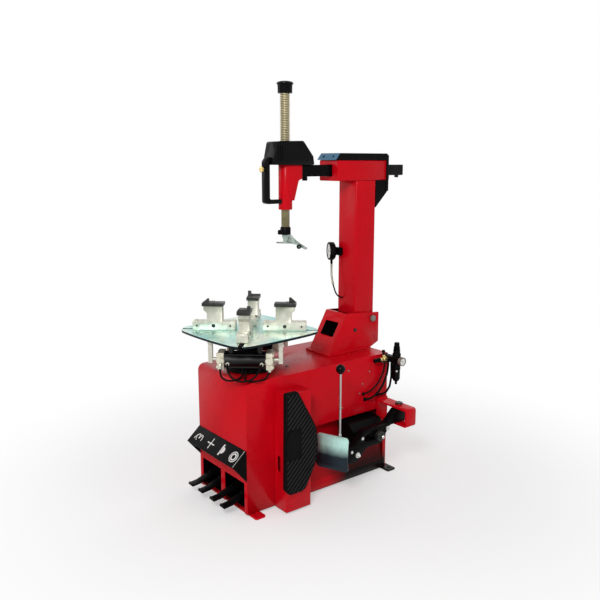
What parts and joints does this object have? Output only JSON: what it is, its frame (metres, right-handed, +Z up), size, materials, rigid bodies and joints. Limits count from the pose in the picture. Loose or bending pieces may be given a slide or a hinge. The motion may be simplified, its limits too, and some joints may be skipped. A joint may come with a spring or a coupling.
{
  "type": "tyre changer",
  "caption": "Swing-column tyre changer: pedal cabinet, clamping turntable with sliding jaws, tilting column, sprung mounting arm and side bead breaker.",
  "frame": {"origin": "middle of the footprint, on the floor", "axes": "+Z up, -Y towards the operator and the pedals, +X towards the bead breaker"},
  "size_m": [0.6166, 1.1236, 1.7803],
  "materials": {
    "red_paint": "gloss red paint",
    "black_plastic": "satin moulded plastic",
    "black_steel": "satin black paint",
    "rubber": "matt",
    "polished_steel": "polished",
    "zinc": "zinc plated",
    "dark_steel": "blackened",
    "chrome": "bright",
    "brass": "turned",
    "grey_cast": "as cast",
    "light_alloy": "as cast",
    "dial": "gloss"
  },
  "bodies": {
    "base": {"cabinet_shell": "red_paint", "side_panel": "red_paint", "front_foot_rail": "red_paint", "rear_foot_rail": "red_paint", "pad_box": "red_paint", "bead_pad": "rubber", "pedal_hood": "black_plastic", "pedal_axle": "dark_steel", "table_pedestal": "grey_cast", "gear_motor": "grey_cast", "column_bracket": "red_paint", "tilt_pivot": "zinc", "bead_bracket": "red_paint", "bead_cylinder": "light_alloy", "bead_guard": "black_steel", "air_unit_body": "black_plastic", "air_unit_bowl": "black_plastic", "air_unit_gauge": "dial", "air_inlet": "brass", "air_hose": "rubber"},
    "pedal_lever_1": {"pedal_1": "black_steel"},
    "pedal_lever_2": {"pedal_2": "black_steel"},
    "pedal_lever_3": {"pedal_3": "black_steel"},
    "pedal_lever_4": {"pedal_4": "black_steel"},
    "turntable": {"table_plate": "polished_steel", "table_hub": "grey_cast", "clamp_cylinder_1": "light_alloy", "clamp_cylinder_2": "light_alloy", "table_hose": "rubber"},
    "jaw_1": {"jaw_slide_1": "zinc", "jaw_cap_1": "dark_steel", "jaw_keeper_1": "zinc"},
    "jaw_2": {"jaw_slide_2": "zinc", "jaw_cap_2": "dark_steel"},
    "jaw_3": {"jaw_slide_3": "zinc", "jaw_cap_3": "dark_steel", "jaw_keeper_3": "zinc"},
    "jaw_4": {"jaw_slide_4": "zinc", "jaw_cap_4": "dark_steel"},
    "column": {"column_tube": "red_paint", "arm_box": "red_paint", "arm_cover": "black_plastic", "inflation_gauge": "black_plastic", "gauge_hose": "rubber"},
    "arm": {"slide_bar": "black_steel", "head_casting": "red_paint", "head_cover": "black_plastic", "return_spring": "zinc"},
    "button": {"lock_button": "brass"},
    "shaft": {"hex_shaft": "zinc", "shaft_cap": "black_plastic", "mount_head": "polished_steel", "head_roller": "black_plastic"},
    "breaker_arm": {"bead_arm": "black_steel"},
    "blade": {"bead_blade": "polished_steel", "blade_handle": "chrome", "ball_knob": "black_plastic"},
    "breaker_rod": {"bead_rod": "chrome"},
    "regulator": {"regulator_knob": "black_plastic"}
  },
  "joints": [
    {"name": "table_spin", "type": "hinge", "parent": "base", "child": "turntable", "pos_m": [-0.0715, -0.3235, 0.6], "axis": [0, 0, 1], "continuous": true},
    {"name": "jaw_1_slide", "type": "slide", "parent": "turntable", "child": "jaw_1", "axis": [0.6561, 0.7547, 0], "range_m": [-0.015, 0.085]},
    {"name": "jaw_2_slide", "type": "slide", "parent": "turntable", "child": "jaw_2", "axis": [-0.7547, 0.6561, 0], "range_m": [-0.015, 0.085]},
    {"name": "jaw_3_slide", "type": "slide", "parent": "turntable", "child": "jaw_3", "axis": [-0.6561, -0.7547, 0], "range_m": [-0.015, 0.085]},
    {"name": "jaw_4_slide", "type": "slide", "parent": "turntable", "child": "jaw_4", "axis": [0.7547, -0.6561, 0], "range_m": [-0.015, 0.085]},
    {"name": "column_tilt", "type": "hinge", "parent": "base", "child": "column", "pos_m": [-0.0715, 0.3285, 0.718], "axis": [-1, 0, 0], "range_deg": [0, 25]},
    {"name": "arm_slide", "type": "slide", "parent": "column", "child": "arm", "axis": [0, 1, 0], "range_m": [-0.05, 0.095]},
    {"name": "shaft_slide", "type": "slide", "parent": "arm", "child": "shaft", "axis": [0, 0, -1], "range_m": [0, 0.17], "stiffness_N_per_m": 300, "springref_m": -0.35, "deforming": ["return_spring"]},
    {"name": "button_press", "type": "slide", "parent": "arm", "child": "button", "axis": [0, 1, 0], "range_m": [0, 0.005], "stiffness_N_per_m": 500, "springref_m": -0.004},
    {"name": "pedal_1_press", "type": "hinge", "parent": "base", "child": "pedal_lever_1", "pos_m": [-0.2015, -0.2635, 0.09], "axis": [1, 0, 0], "range_deg": [0, 7], "stiffness_Nm_per_rad": 10, "springref_deg": -14.32},
    {"name": "pedal_2_press", "type": "hinge", "parent": "base", "child": "pedal_lever_2", "pos_m": [-0.1195, -0.2635, 0.09], "axis": [1, 0, 0], "range_deg": [0, 7], "stiffness_Nm_per_rad": 10, "springref_deg": -14.32},
    {"name": "pedal_3_press", "type": "hinge", "parent": "base", "child": "pedal_lever_3", "pos_m": [-0.0235, -0.2635, 0.09], "axis": [1, 0, 0], "range_deg": [0, 7], "stiffness_Nm_per_rad": 10, "springref_deg": -14.32},
    {"name": "pedal_4_press", "type": "hinge", "parent": "base", "child": "pedal_lever_4", "pos_m": [0.0585, -0.2635, 0.09], "axis": [1, 0, 0], "range_deg": [0, 7], "stiffness_Nm_per_rad": 10, "springref_deg": -14.32},
    {"name": "bead_arm_swing", "type": "hinge", "parent": "base", "child": "breaker_arm", "pos_m": [0.2285, 0.2915, 0.31], "axis": [0, 0, 1], "range_deg": [0, 40]},
    {"name": "bead_rod_slide", "type": "slide", "parent": "base", "child": "breaker_rod", "axis": [1, 0, 0], "range_m": [0, 0.151]},
    {"name": "blade_swivel", "type": "hinge", "parent": "breaker_arm", "child": "blade", "pos_m": [0.2285, -0.0555, 0.2], "axis": [0, 0, 1], "range_deg": [-12, 12]},
    {"name": "regulator_turn", "type": "hinge", "parent": "base", "child": "regulator", "pos_m": [0.1835, 0.3145, 0.62], "axis": [0, 0, 1], "range_deg": [-360, 360]}
  ],
  "couplings": [
    {"joint": "jaw_2_slide", "follows": "jaw_1_slide", "ratio": 1},
    {"joint": "jaw_3_slide", "follows": "jaw_1_slide", "ratio": 1},
    {"joint": "jaw_4_slide", "follows": "jaw_1_slide", "ratio": 1},
    {"joint": "bead_rod_slide", "follows": "bead_arm_swing", "m_per_rad": 0.215}
  ]
}
